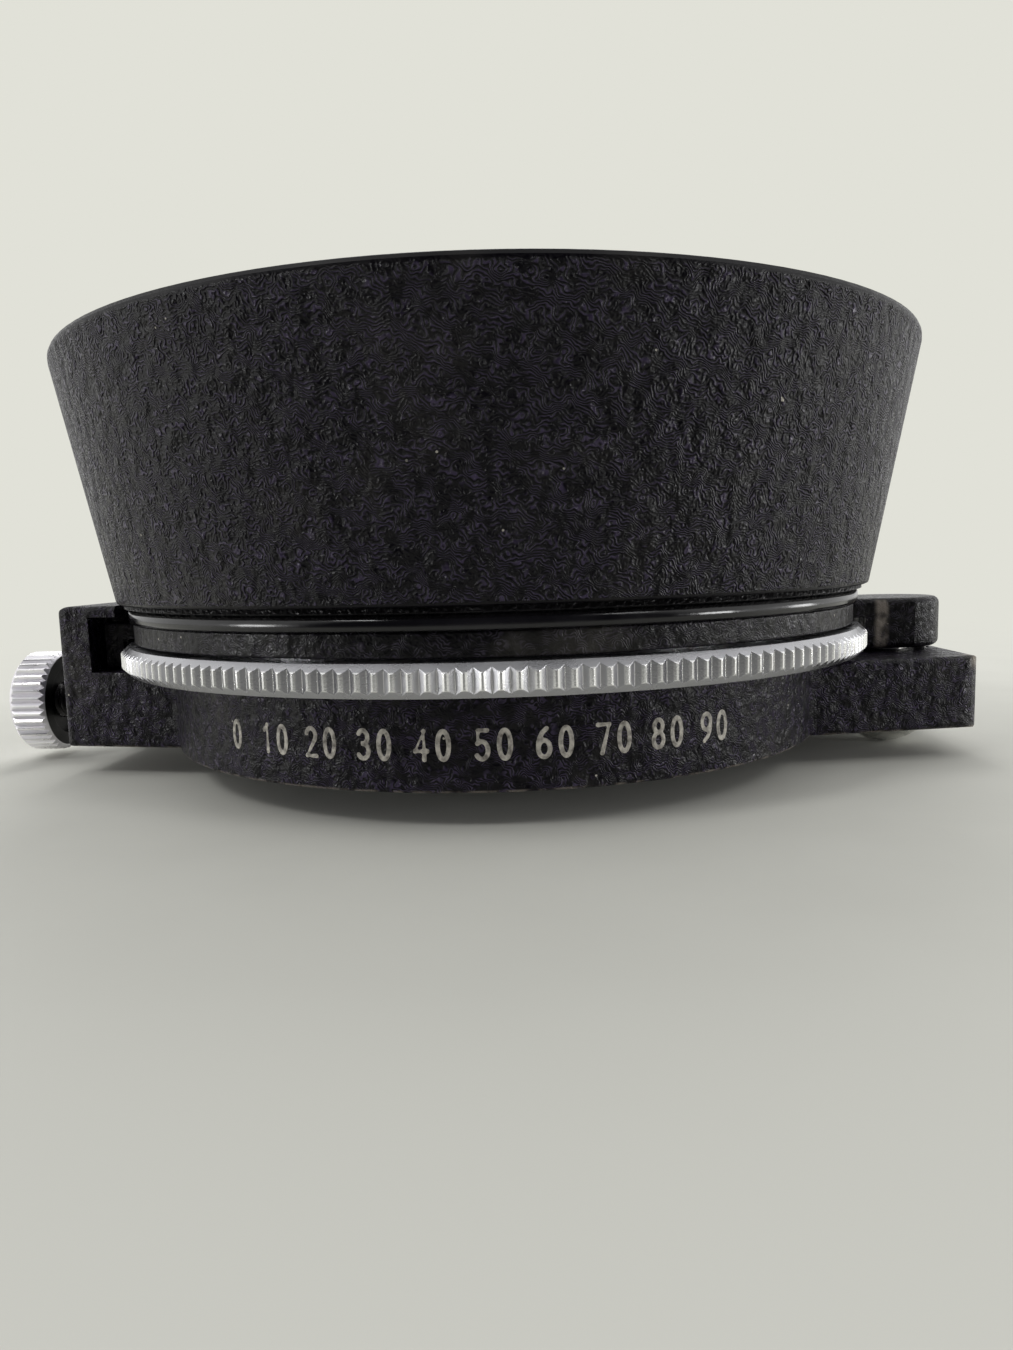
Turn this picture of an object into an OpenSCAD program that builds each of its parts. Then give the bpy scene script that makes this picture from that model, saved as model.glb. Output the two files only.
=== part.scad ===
// Swing-out polarising lens hood: a clamp ring for the lens rim, a ring that
// swings about a pin beside it, a knurled filter ring, and a conical hood.
// Origin: centre of the clamp ring's lens-side face. +Z runs to the hood's
// mouth, +X to the hinge, -X to the clamp knob, -Y is the front.

/* [Lens clamp ring] */
// Radius of the lens rim that the clamp grips
rim_r = 21.0; // [20.6:0.1:21.3]
// Radial thickness of the liner that protects the rim
liner_t = 0.9; // [0.6:0.1:1.2]
// Wall of the clamp ring outside the liner
base_wall = 3.8; // [3.6:0.1:4.1]
// Height of the clamp ring
base_h = 5.85; // [5.7:0.05:6.2]
// Depth of the seat that the lens rim enters
seat_depth = 4.6; // [4.2:0.1:4.8]
// Width of the lip that stops the lens rim
seat_lip = 0.5; // [0.3:0.1:0.9]

/* [Clamp screw] */
// Half width of the shoe that presses on the rim
shoe_half_w = 7.2; // [5:0.2:7.6]
// Farthest that the shoe draws back from the rim
shoe_retract = 1.0; // [0.5:0.1:1.2]
// Shaft radius of the clamp screw
screw_r = 1.5; // [1.1:0.1:1.6]
// Height of the clamp screw's axis
screw_z = 2.6; // [2.5:0.05:2.75]
// Radius of the knob over its ridges
knob_r = 4.25; // [3.6:0.05:4.6]
// Thickness of the knob
knob_t = 3.1; // [2.4:0.1:3.6]
// Distance from the lug to the knob at rest
knob_gap = 4.05; // [2.5:0.05:5]
// Number of ridges on the knob
knob_ridges = 40; // [30:1:48]

/* [Latch lug] */
// Width of the latch lug at its end
latch_w = 17.0; // [16.4:0.1:17.8]
// Height of the latch lug
latch_h = 10.95; // [10.8:0.01:11.0]
// Thickness of the lip over the slot
latch_lip_t = 0.85; // [0.7:0.05:0.95]
// Wall behind the slot
latch_wall = 2.05; // [1.5:0.05:2.6]

/* [Hinge] */
// Distance from the knurled ring's edge to the pivot
pivot_reach = 2.9; // [2.8:0.1:3.6]
// Radius of the pivot screw's shoulder
pivot_r = 1.6; // [1.3:0.05:1.7]
// Radius of the pivot screw's head
pivot_head_r = 3.0; // [2.6:0.1:3.4]
// Height of the pivot screw's domed head
pivot_head_h = 1.8; // [1.4:0.1:2.2]
// Height of the hinge lug
hinge_lug_h = 5.45; // [5.3:0.05:5.55]
// Width of the hinge lug at its end
hinge_lug_w = 15.8; // [15:0.1:16.6]
// Reach of the hinge lug beyond the pivot
hinge_lug_reach = 4.7; // [4.4:0.1:6]
// Half width of the hinge block, and the radius of its end
block_r = 4.1; // [4:0.05:4.4]
// Thickness of the washer under the hinge block
washer_t = 0.3; // [0.2:0.05:0.35]
// Distance from the pivot to the click ball
click_offset = 2.85; // [2.8:0.05:2.95]
// Radius of the click ball
ball_r = 0.75; // [0.6:0.05:0.8]

/* [Filter ring] */
// Radius over the ridges of the knurled ring
knurl_r = 29.4; // [29:0.05:29.5]
// Height of the knurled ring's edge
knurl_h = 1.98; // [1.8:0.02:2.1]
// Number of grooves round the knurled ring
knurl_count = 184; // [120:1:200]
// Depth of the grooves
knurl_depth = 0.29; // [0.15:0.01:0.32]
// Chamfer at both ends of the grooves
knurl_chamfer = 0.53; // [0.4:0.01:0.6]
// Width of the narrow lands between the grooves
knurl_land = 0.12; // [0.05:0.01:0.2]
// Width of the lip that carries the glass
filter_lip = 1.8; // [1.5:0.1:2.2]
// Wall of the hub round the glass
hub_wall = 3.1; // [2.8:0.1:3.3]
// Width of the knurled rim outside the hub
rim_w = 3.8; // [3.7:0.05:3.9]
// Thickness of each cover glass
glass_t = 1.0; // [0.8:0.05:1.05]
// Thickness of the polarising film
film_t = 0.15; // [0.1:0.05:0.2]

/* [Swing ring] */
// Wall of the swing ring round the hub
swing_wall = 2.8; // [2.7:0.05:2.9]
// Height of the swing ring's band
swing_h = 1.48; // [1.4:0.02:1.52]
// Half width of the latch tab
tab_half_w = 7.0; // [6.5:0.1:7.5]

/* [Hood] */
// How far the glossy neck stands out from the swing ring
neck_step = 0.3; // [0.2:0.05:0.4]
// Height of the neck
neck_h = 1.4; // [1.35:0.05:1.6]
// How far the hood's foot stands out from the neck
foot_step = 0.76; // [0.6:0.02:1.2]
// How far the hood opens out from its foot to its mouth
hood_flare = 3.14; // [1:0.02:7]
// Height of the hood
hood_h = 17.2; // [12:0.2:24]
// Wall of the hood
hood_wall = 1.1; // [0.9:0.05:1.3]
// Number of baffle steps inside the hood
baffle_count = 14; // [6:1:20]

/* [Hidden] */
$fn = 96;

// Finishes
crinkle_black = [0.16, 0.155, 0.16];
matte_black = [0.10, 0.10, 0.10];
gloss_black = [0.05, 0.05, 0.055];
bright_metal = [0.72, 0.72, 0.71];
steel = [0.60, 0.60, 0.60];
filter_glass = [0.35, 0.38, 0.38, 0.5];

// Clearances
eps = 0.01;              // overlap of cutters with what they cut
cut = 1;                 // reach of cutters past a face
run = 0.05;              // radial gap of a turning fit
seat = 0.02;             // radial gap of a fixed fit
face_gap = 0.05;         // gap between faces that slide on each other
under_gap = 0.24;        // clamp ring to knurled ring
over_gap = 0.19;         // knurled ring to swing ring
swing_gap = 0.35;        // swept radius to the wall beside it
stop_gap = 0.08;         // tab to stop at rest

// Radii of the turned rings, outwards and inwards from the hub
hub_r = knurl_r - rim_w;
glass_seat_r = hub_r - hub_wall;
filter_clear_r = glass_seat_r - filter_lip;
swing_r = hub_r + swing_wall;
neck_r = swing_r + neck_step;
foot_r = neck_r + foot_step;
mouth_r = foot_r + hood_flare;
pivot_x = knurl_r + pivot_reach;

// Levels, from the lens side to the mouth
knurl_z = base_h + under_gap;
swing_z = knurl_z + knurl_h + over_gap;
neck_z = swing_z + swing_h;
foot_z = neck_z + neck_h;
mouth_z = foot_z + hood_h;

// Clamp ring
liner_r = rim_r + liner_t;
base_r = liner_r + base_wall;
stop_lip_r = rim_r - seat_lip;
liner_h = seat_depth - face_gap;
ring_edge = 0.35;        // roundings of the clamp ring's upper and lower edges
ring_low_edge = 0.2;

// Lugs: both taper towards their ends by one angle
lug_taper = 10.2;
lug_edge = 0.5;          // rounding of their long edges
latch_plan_r = 0.7;      // roundings of their upright end edges
hinge_plan_r = 2.2;
latch_end_r = [1.0, 0.5];            // end edges' roundings, upper and lower
hinge_end_r = [0.8, 0.65];
lug_fillet = 1.2;        // fillet between a lug and the ring
fillet_in = 0.35;        // fillets start this far inside the lug's faces
block_edge = 0.55;       // rounding of the hinge block's edges

// Swept radii about the pivot
neck_sweep = pivot_x + neck_r;
knurl_sweep = pivot_x + knurl_r;
ring_clear_r = knurl_r + 0.35;       // what stands round the knurled ring
lip_r = neck_sweep + swing_gap;
tab_r = pivot_x + ring_clear_r + 0.95;
slot_back_r = tab_r + 0.6;
slot_z1 = latch_h - latch_lip_t;
stop_y = tab_half_w + stop_gap;
tab_z0 = base_h + 0.08;
tab_z1 = neck_z - 0.2;

// Clamp shoe and screw
shoe_back = 2.55;        // rim to the back of the shoe
shoe_blank = 4;          // stock inside the rim, cut away by the rim's own circle
shoe_margin = 0.15;      // shoe to its pocket
shoe_z0 = 0.55;
shoe_z1 = seat_depth - 0.25;
shoe_back_x = -(rim_r + shoe_back);
pocket_x = shoe_back_x - shoe_retract - 0.1;
tip_depth = 1.2;         // screw tip's seat in the shoe
tip_r = screw_r - 0.4;
lug_ends_x = -(slot_back_r - pivot_x) - latch_wall;
knob_in_x = lug_ends_x - knob_gap;
knob_out_x = knob_in_x - knob_t;
knob_groove = 0.28;
knob_bevel = 0.5;
knob_in_bevel = 0.34;    // small, so that the ridges reach the inner face
knob_land = 0.14;
socket_floor = 0.9;      // knob's outer face to the end of the screw in it

// Hinge
block_z = hinge_lug_h + washer_t;
block_cut_z = swing_z;               // below this the block clears the ring
pivot_thread_r = pivot_r - 0.3;
pivot_thread_l = 3.0;
pivot_tip_z = block_z + pivot_thread_l;
spring_washer_t = 0.4;
head_top_z = -(spring_washer_t + 2 * face_gap);
washer_r = click_offset - ball_r - 0.12;
ball_rest_z = block_z - 0.05 - ball_r;
click_rise = 0.15;                   // ball's travel into a dimple
click_hole_r = ball_r + run;
plug_h = 1.3;
spring_turns = 5;
spring_wire_r = 0.11;

// Filter ring
glass_r = glass_seat_r - 0.08;
lip_h = 0.5;
glass_z = knurl_z + lip_h;
film_z = glass_z + glass_t;
front_glass_z = film_z + film_t;
retainer_z = front_glass_z + glass_t;
shelf_w = 1.1;
shelf_h = 0.68;
shelf_r = hub_r + shelf_w;           // counterbore in the swing ring
shelf_z = swing_z + shelf_h;
spring_t = 0.14;
hub_top_z = shelf_z + spring_t + face_gap;
keeper_gap = 0.1;
keeper_t = neck_z - keeper_gap - hub_top_z;
keeper_r = shelf_r - 0.15;
keeper_screw_len = 1.1;
keeper_screw_r = 0.45;
keeper_screw_head_r = 0.7;
keeper_screw_at = (glass_seat_r + hub_r) / 2;

// Neck and hood
spigot_r = shelf_r + 0.05;
spigot_wall = 1.75;
throat_r = spigot_r - spigot_wall;
foot_flange_h = 1.25;
nut_h = 0.7;
nut_gap = 0.25;
notch_count = 4;
neck_screw_r = 0.45;
neck_screw_head_r = 0.72;
neck_screw_count = 4;
neck_screw_at = (shelf_r + swing_r) / 2 + 0.05;
neck_screw_z0 = swing_z + 0.4;
neck_screw_z1 = foot_z - 0.1;        // top of the screw heads, under the hood
neck_low_edge = 0.2;                 // roundings of the glossy band
neck_top_edge = 0.25;
foot_collar_h = 0.3;                 // matt collar that the hood's foot stands on
foot_collar_r = neck_r + 0.25;
groove_h = 0.35;                     // groove between the band and the collar
groove_in = 0.45;
keeper_screw_count = 3;

// ---- shapes ---------------------------------------------------------------

// A ring of rectangular section
module ring(r_out, r_in, z0, z1) {
    translate([0, 0, z0]) difference() {
        cylinder(r = r_out, h = z1 - z0);
        translate([0, 0, -cut]) cylinder(r = r_in, h = z1 - z0 + 2 * cut);
    }
}

// A disc with its upper and lower outer edges rounded in a few steps
function quarter(cx, cy, r, a0, steps = 4) =
    [for (i = [0:steps]) let (a = a0 + 90 * i / steps)
        [cx + r * cos(a), cy + r * sin(a)]];

module soft_disc(r, z0, z1, edge, low) {
    rotate_extrude() polygon(concat(
        [[0, z0]],
        quarter(r - low, z0 + low, low, -90),
        quarter(r - edge, z1 - edge, edge, 0),
        [[0, z1]]));
}

// A rectangle with round corners, from exact arcs
module soft_rect(x0, x1, y0, y1, r) {
    translate([x0 + r, y0]) square([x1 - x0 - 2 * r, y1 - y0]);
    translate([x0, y0 + r]) square([x1 - x0, y1 - y0 - 2 * r]);
    for (x = [x0 + r, x1 - r], y = [y0 + r, y1 - r])
        translate([x, y]) circle(r = r);
}

// A bar with its upright edges rounded by plan_r, the others by edge
module soft_bar(x0, x1, half_w, z0, z1, plan_r, edge) {
    intersection() {
        translate([0, 0, z0]) linear_extrude(z1 - z0)
            soft_rect(x0, x1, -half_w, half_w, plan_r);
        rotate([90, 0, 0]) translate([0, 0, -half_w]) linear_extrude(2 * half_w)
            soft_rect(x0, x1, z0, z1, edge);
        translate([x0, 0, 0]) rotate([90, 0, 90]) linear_extrude(x1 - x0)
            soft_rect(-half_w, half_w, z0, z1, edge);
    }
}

// An upright section from x0 to an end at x1, the end's corners rounded by
// end_r[0] above and end_r[1] below
module end_section(x0, x1, z1, end_r) {
    up = end_r[0];
    low = end_r[1];
    translate([x0, low]) square([x1 - x0, z1 - up - low]);
    translate([x0, z1 / 2]) square([x1 - up - x0, z1 / 2]);
    translate([x0, 0]) square([x1 - low - x0, z1 / 2]);
    translate([x1 - up, z1 - up]) circle(r = up);
    translate([x1 - low, low]) circle(r = low);
}

// A lug from x0 to x1 along +X, half_end wide at its end and wider by lug_taper
// towards the ring. Its plan, its end and each long side are cut one by one.
module tapered_lug(x0, x1, half_end, z1, plan_r, end_r) {
    rise = tan(lug_taper);
    half_root = half_end + (x1 - x0) * rise;
    corner_y = half_end + plan_r * rise - plan_r / cos(lug_taper);
    side = [x1 - plan_r + plan_r * sin(lug_taper), corner_y + plan_r * cos(lug_taper)];
    far = 4 * half_root;
    intersection() {
        linear_extrude(z1) union() {
            polygon([[x0, -half_root], [side[0], -side[1]], [x1, -corner_y],
                     [x1, corner_y], side, [x0, half_root]]);
            for (y = [-corner_y, corner_y]) translate([x1 - plan_r, y]) circle(r = plan_r);
        }
        rotate([90, 0, 0]) translate([0, 0, -half_root]) linear_extrude(2 * half_root)
            end_section(x0, x1, z1, end_r);
        for_side(x1, half_end) translate([-(x1 - x0) - 5, 0, 0]) rotate([90, 0, 90])
            linear_extrude(x1 - x0 + 10) soft_rect(-far, 0, 0, z1, lug_edge);
        mirror([0, 1, 0]) for_side(x1, half_end) translate([-(x1 - x0) - 5, 0, 0])
            rotate([90, 0, 90]) linear_extrude(x1 - x0 + 10)
            soft_rect(-far, 0, 0, z1, lug_edge);
    }
    for (s = [-1, 1]) side_fillet(x1, half_end, z1, s);
}

module for_side(x1, half_end)
    translate([x1, half_end, 0]) rotate(-lug_taper) children();

// Fillet between a lug's long side and the clamp ring, in a few flat steps
module side_fillet(x1, half_end, z1, s) {
    steps = 6;
    r = lug_fillet;
    reach = base_r + r;
    c = x1 * sin(lug_taper) + half_end * cos(lug_taper) + r;
    t = sqrt(reach * reach - c * c);
    centre = [c * sin(lug_taper) + t * cos(lug_taper), c * cos(lug_taper) - t * sin(lug_taper)];
    a0 = -90 - lug_taper;                // towards the lug's side
    a1 = atan2(-centre[1], -centre[0]);  // towards the ring's axis
    arc = [for (i = [0:steps]) let (a = a0 + (a1 - a0) * i / steps,
               k = (i == 0 || i == steps) ? r + 0.03 : r)
           centre + k * [cos(a), sin(a)]];
    inside = centre * (base_r - 1.6) / reach;
    translate([0, 0, fillet_in]) linear_extrude(z1 - 2 * fillet_in)
        polygon([for (p = concat(arc, [inside])) [p[0], s * p[1]]]);
}

// A disc with V grooves round its edge, narrow lands between them, and 45 degree
// chamfers deeper than the grooves, so that each groove shows as a hexagon; the
// upper chamfer can differ. It is
// four rings of points: both flat faces' edges, and the grooves' ends between them.
module grooved_disc(r, depth, count, land, chamfer, upper_chamfer, z0, z1) {
    each_groove = 3;     // both edges of a land, then the bottom of a groove
    n = each_groove * count;
    pitch = 360 / count;
    half_land = land / r * 90 / PI;
    function bottom(i) = i % each_groove == 2;
    function turn(i) = pitch * floor(i / each_groove)
        + [-half_land, half_land, pitch / 2][i % each_groove];
    function at(k, i) = k * n + i % n;
    points = [for (k = [0:3], i = [0:n - 1])
        let (flat = k == 0 || k == 3,
             c = k < 2 ? chamfer : upper_chamfer,
             p = flat ? r - c : bottom(i) ? r - depth : r,
             inset = flat ? 0 : bottom(i) ? c - depth : c)
        [p * cos(turn(i)), p * sin(turn(i)), k < 2 ? z0 + inset : z1 - inset]];
    sides = [for (i = [0:n - 1]) [at(1, i), at(2, i), at(2, i + 1), at(1, i + 1)]];
    // the chamfers' quads bend a little, so each is two triangles
    lower = [for (i = [0:n - 1]) each bottom(i)
        ? [[at(0, i + 1), at(1, i), at(1, i + 1)], [at(0, i + 1), at(0, i), at(1, i)]]
        : [[at(0, i), at(1, i), at(1, i + 1)], [at(0, i), at(1, i + 1), at(0, i + 1)]]];
    upper = [for (i = [0:n - 1]) each bottom(i)
        ? [[at(3, i + 1), at(2, i + 1), at(2, i)], [at(3, i + 1), at(2, i), at(3, i)]]
        : [[at(3, i), at(2, i + 1), at(2, i)], [at(3, i), at(3, i + 1), at(2, i + 1)]]];
    floor_edge = [for (i = [0:n - 1]) at(0, i)];
    roof_edge = [for (i = [n - 1:-1:0]) at(3, i)];
    polyhedron(points, concat([floor_edge], lower, sides, upper, [roof_edge]), convexity = 4);
}

module at_pivot(dx = 0) translate([pivot_x + dx, 0, 0]) children();

module around(count, radius, from = 0)
    for (i = [0:count - 1])
        rotate(from + 360 * i / count) translate([radius, 0, 0]) children();

// A countersunk screw standing on its point, its head's top at z1
module flat_screw(z0, z1, r, head_r) {
    head_h = head_r - r;
    slot_w = 0.22;
    difference() {
        union() {
            translate([0, 0, z0]) cylinder(r = r, h = z1 - z0 - head_h + eps);
            translate([0, 0, z1 - head_h]) cylinder(r1 = r, r2 = head_r, h = head_h);
        }
        translate([-head_r, -slot_w / 2, z1 - head_h * 0.6])
            cube([2 * head_r, slot_w, head_h]);
    }
}

// The hole for that screw, wider by gap all over
module flat_screw_hole(z0, z1, r, head_r, gap = seat) {
    head_h = head_r - r;
    translate([0, 0, z0]) cylinder(r = r + gap, h = z1 - z0 + cut);
    translate([0, 0, z1 - head_h])
        cylinder(r1 = r + gap, r2 = head_r + gap, h = head_h + eps);
    translate([0, 0, z1]) cylinder(r = head_r + gap, h = cut);
}

// ---- base: everything that stays on the lens --------------------------------

module latch_lug() {
    difference() {
        rotate(180) tapered_lug(rim_r, -lug_ends_x, latch_w / 2, latch_h,
                                latch_plan_r, latch_end_r);
        // slot for the tab, closed by the stop at +Y
        intersection() {
            at_pivot() translate([0, 0, base_h])
                cylinder(r = slot_back_r, h = slot_z1 - base_h);
            translate([lug_ends_x, -latch_w, base_h])
                cube([latch_w * 2, latch_w + stop_y, slot_z1 - base_h]);
        }
        // room for the turning ring beside the stop
        translate([0, 0, base_h]) cylinder(r = ring_clear_r, h = slot_z1 - base_h);
        // the lip clears the neck as it swings
        at_pivot() translate([0, 0, slot_z1 - eps])
            cylinder(r = lip_r, h = latch_h - slot_z1 + cut);
    }
}

module shoe_pocket() {
    half = shoe_half_w + shoe_margin;
    translate([pocket_x, -half, shoe_z0 - shoe_margin])
        cube([-pocket_x - rim_r + shoe_blank, 2 * half, shoe_z1 - shoe_z0 + 2 * shoe_margin]);
}

module base_ring() {
    color(crinkle_black) difference() {
        union() {
            soft_disc(base_r, 0, base_h, ring_edge, ring_low_edge);
            latch_lug();
            tapered_lug(rim_r, pivot_x + hinge_lug_reach, hinge_lug_w / 2, hinge_lug_h,
                        hinge_plan_r, hinge_end_r);
        }
        translate([0, 0, -cut]) cylinder(r = liner_r + seat, h = seat_depth + cut);
        translate([0, 0, -cut]) cylinder(r = stop_lip_r, h = base_h + 2 * cut);
        shoe_pocket();
        translate([lug_ends_x - cut, 0, screw_z]) rotate([0, 90, 0])
            cylinder(r = screw_r + run, h = -rim_r - lug_ends_x);
        at_pivot() translate([0, 0, -cut])
            cylinder(r = pivot_r + run, h = hinge_lug_h + 2 * cut);
        at_pivot(click_offset) translate([0, 0, -cut])
            cylinder(r = click_hole_r, h = hinge_lug_h + 2 * cut);
    }
}

module lens_liner() {
    half = shoe_half_w + shoe_margin;
    color("dimgray") difference() {
        ring(liner_r, rim_r, 0, liner_h);
        translate([-liner_r - cut, -half, -cut])
            cube([liner_r + cut, 2 * half, liner_h + 2 * cut]);
    }
}

module click_plug() {
    color(steel) at_pivot(click_offset) translate([0, 0, 0.1]) difference() {
        cylinder(r = click_hole_r - seat, h = plug_h);
        translate([-ball_r, -0.15, -cut]) cube([2 * ball_r, 0.3, cut + 0.4]);
    }
}

// Coil spring: rings of points swept along a helix, closed at both ends
module click_spring() {
    z0 = 0.1 + plug_h + spring_wire_r + 0.02;
    z1 = ball_rest_z - ball_r - spring_wire_r - 0.02;
    coil_r = click_hole_r - spring_wire_r - 0.08;
    sides = 6;
    steps = 12 * spring_turns;
    rise = (z1 - z0) / steps;
    points = [for (i = [0:steps], k = [0:sides - 1])
        let (a = 360 * spring_turns * i / steps, b = 360 * k / sides,
             r = coil_r + spring_wire_r * cos(b))
        [r * cos(a), r * sin(a), z0 + rise * i + spring_wire_r * sin(b)]];
    walls = [for (i = [0:steps - 1], k = [0:sides - 1])
        let (a = i * sides + k, b = i * sides + (k + 1) % sides)
        [a, b, b + sides, a + sides]];
    first = [for (k = [0:sides - 1]) sides - 1 - k];
    last = [for (k = [0:sides - 1]) steps * sides + k];
    color(steel) at_pivot(click_offset)
        polyhedron(points, concat([first], walls, [last]), convexity = 10);
}

module click_ball() {
    color(steel) at_pivot(click_offset) translate([0, 0, ball_rest_z])
        sphere(r = ball_r);
}

// ---- clamp ------------------------------------------------------------------

module clamp_shoe() {
    color(matte_black) difference() {
        translate([shoe_back_x, -shoe_half_w, shoe_z0])
            cube([shoe_back + shoe_blank, 2 * shoe_half_w, shoe_z1 - shoe_z0]);
        translate([0, 0, -cut]) cylinder(r = rim_r + face_gap, h = seat_depth + 2 * cut);
        translate([shoe_back_x - cut, 0, screw_z]) rotate([0, 90, 0])
            cylinder(r = tip_r + run, h = tip_depth + cut + face_gap);
    }
}

module clamp_screw() {
    shank_x1 = shoe_back_x - face_gap;
    color(steel) translate([0, 0, screw_z]) rotate([0, 90, 0]) {
        translate([0, 0, knob_out_x + socket_floor])
            cylinder(r = screw_r, h = shank_x1 - knob_out_x - socket_floor);
        translate([0, 0, shank_x1 - eps]) cylinder(r = tip_r, h = tip_depth);
    }
}

module clamp_knob() {
    dish = 0.25;
    recess = 0.45;
    color(bright_metal) translate([0, 0, screw_z]) rotate([0, 90, 0]) difference() {
        grooved_disc(knob_r, knob_groove, knob_ridges, knob_land, knob_bevel,
                     knob_in_bevel, knob_out_x, knob_in_x);
        translate([0, 0, knob_out_x + socket_floor - seat]) cylinder(r = screw_r + seat, h = knob_t);
        translate([0, 0, knob_out_x - cut]) cylinder(r = knob_r - 1.1, h = dish + cut);
        translate([0, 0, knob_in_x - recess]) cylinder(r = knob_r - 1.4, h = recess + cut);
    }
}

// ---- hinge ------------------------------------------------------------------

module pivot_screw() {
    // the dome's sphere passes through the head's rim and its crown
    side_h = 0.5;
    dome_h = pivot_head_h - side_h;
    dome_r = (pivot_head_r * pivot_head_r + dome_h * dome_h) / (2 * dome_h);
    crown_z = head_top_z - pivot_head_h;
    slot_w = 0.8;
    color(bright_metal) at_pivot() difference() {
        union() {
            intersection() {
                translate([0, 0, crown_z]) cylinder(r = pivot_head_r, h = pivot_head_h);
                translate([0, 0, crown_z + dome_r]) sphere(r = dome_r);
            }
            translate([0, 0, head_top_z - eps])
                cylinder(r = pivot_r, h = block_z - head_top_z - face_gap + eps);
            translate([0, 0, block_z - face_gap - eps])
                cylinder(r = pivot_thread_r, h = pivot_tip_z - block_z);
        }
        translate([-pivot_head_r - cut, -slot_w / 2, crown_z - cut])
            cube([2 * (pivot_head_r + cut), slot_w, 0.75 + cut]);
    }
}

module pivot_washer() {
    color(steel) at_pivot()
        ring(washer_r, pivot_r + seat, hinge_lug_h + 0.03, block_z - 0.03);
}

module pivot_spring_washer() {
    color(steel) at_pivot()
        ring(pivot_head_r - 0.4, pivot_r + seat, head_top_z + 0.03, -face_gap);
}

// ---- swing carrier ------------------------------------------------------------

module hinge_block() {
    difference() {
        intersection() {
            union() {
                at_pivot() soft_disc(block_r, block_z, neck_z - 0.02, block_edge, block_edge);
                soft_bar(swing_r - 1.2, pivot_x + 1, block_r, block_z, neck_z - 0.02,
                         eps * 2, block_edge);
            }
            translate([swing_r - 1.1, -block_r, block_z])
                cube([pivot_x + block_r, 2 * block_r, neck_z]);
        }
        // clear of the knurled ring below the band
        translate([0, 0, block_z - cut]) cylinder(r = ring_clear_r, h = block_cut_z - block_z + cut);
    }
}

module latch_tab() {
    difference() {
        intersection() {
            at_pivot() cylinder(r = tab_r, h = tab_z1);
            soft_bar(-(tab_r + 2 - pivot_x), -(swing_r - 1.2), tab_half_w,
                     tab_z0, tab_z1, eps * 2, 0.25);
        }
        translate([0, 0, tab_z0 - cut]) cylinder(r = ring_clear_r, h = swing_z - tab_z0 + cut);
    }
}

module swing_ring() {
    color(matte_black) difference() {
        union() {
            soft_disc(swing_r, swing_z, neck_z, 0.15, 0.15);
            hinge_block();
            latch_tab();
        }
        translate([0, 0, swing_z - cut]) cylinder(r = hub_r + run, h = swing_h + 2 * cut);
        translate([0, 0, shelf_z]) cylinder(r = shelf_r, h = swing_h + cut);
        around(neck_screw_count, neck_screw_at, 45)
            translate([0, 0, neck_screw_z0 - keeper_gap])
            cylinder(r = neck_screw_r + seat, h = swing_h);
        at_pivot() translate([0, 0, block_z - cut])
            cylinder(r = pivot_thread_r + seat, h = pivot_tip_z - block_z + cut + 0.1);
        // dimples that the click ball drops into, shut and swung right out
        for (side = [-1, 1])
            at_pivot(side * click_offset)
                translate([0, 0, ball_rest_z + click_rise]) sphere(r = ball_r + 0.07);
    }
}

module wave_spring() {
    color(steel) ring(shelf_r - 0.2, hub_r + 0.2, shelf_z + 0.01, shelf_z + spring_t);
}

module neck_screws() {
    color(steel) around(neck_screw_count, neck_screw_at, 45)
        flat_screw(neck_screw_z0, neck_screw_z1, neck_screw_r, neck_screw_head_r);
}

module hood_neck() {
    spigot_top = foot_z + foot_flange_h + nut_h;
    collar_z = foot_z - foot_collar_h;
    profile = concat(
        [[throat_r, neck_z]],
        quarter(neck_r - neck_low_edge, neck_z + neck_low_edge, neck_low_edge, -90, 3),
        quarter(neck_r - neck_top_edge, collar_z - groove_h, neck_top_edge, 0, 3),
        [[neck_r - groove_in, collar_z - groove_h / 2],
         [foot_collar_r, collar_z],
         [foot_collar_r, foot_z],
         [spigot_r, foot_z],
         [spigot_r, spigot_top],
         [throat_r, spigot_top]]);
    color(gloss_black) difference() {
        rotate_extrude() polygon(profile);
        around(neck_screw_count, neck_screw_at, 45)
            flat_screw_hole(neck_z - cut, neck_screw_z1, neck_screw_r, neck_screw_head_r);
    }
}

module hood_shell() {
    rim_band = 0.7;
    wall_x = hood_wall * sqrt(1 + pow((mouth_r - foot_r) / hood_h, 2));
    inner_foot_r = foot_r - wall_x;
    inner_mouth_r = mouth_r - wall_x;
    baffle_z0 = foot_z + foot_flange_h + 2.2;
    baffle_z1 = mouth_z - 1.6;
    pitch = (baffle_z1 - baffle_z0) / baffle_count;
    // inner wall's radius at a height
    inner = function (z) inner_foot_r + (inner_mouth_r - inner_foot_r) * (z - foot_z) / hood_h;
    baffles = [for (i = [baffle_count - 1:-1:0]) each
        let (z = baffle_z0 + pitch * i)
        [[inner(z + pitch) + 0.0, z + pitch - 0.15], [inner(z) + 0.28, z + 0.05],
         [inner(z), z]]];
    profile = concat(
        [[spigot_r + run, foot_z + 0.0],
         [foot_r - 0.25, foot_z],
         [foot_r - 0.07, foot_z + 0.08],
         [foot_r, foot_z + 0.25],
         [mouth_r - 0.02, mouth_z - rim_band],
         [mouth_r, mouth_z - rim_band + 0.12],
         [mouth_r, mouth_z - 0.3],
         [mouth_r - 0.1, mouth_z - 0.08],
         [mouth_r - 0.3, mouth_z],
         [inner_mouth_r + 0.2, mouth_z],
         [inner_mouth_r, mouth_z - 0.25],
         [inner(baffle_z1), baffle_z1]],
        baffles,
        [[inner(foot_z + foot_flange_h), foot_z + foot_flange_h],
         [spigot_r + run, foot_z + foot_flange_h]]);
    color(crinkle_black) rotate_extrude() polygon(profile);
}

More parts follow.
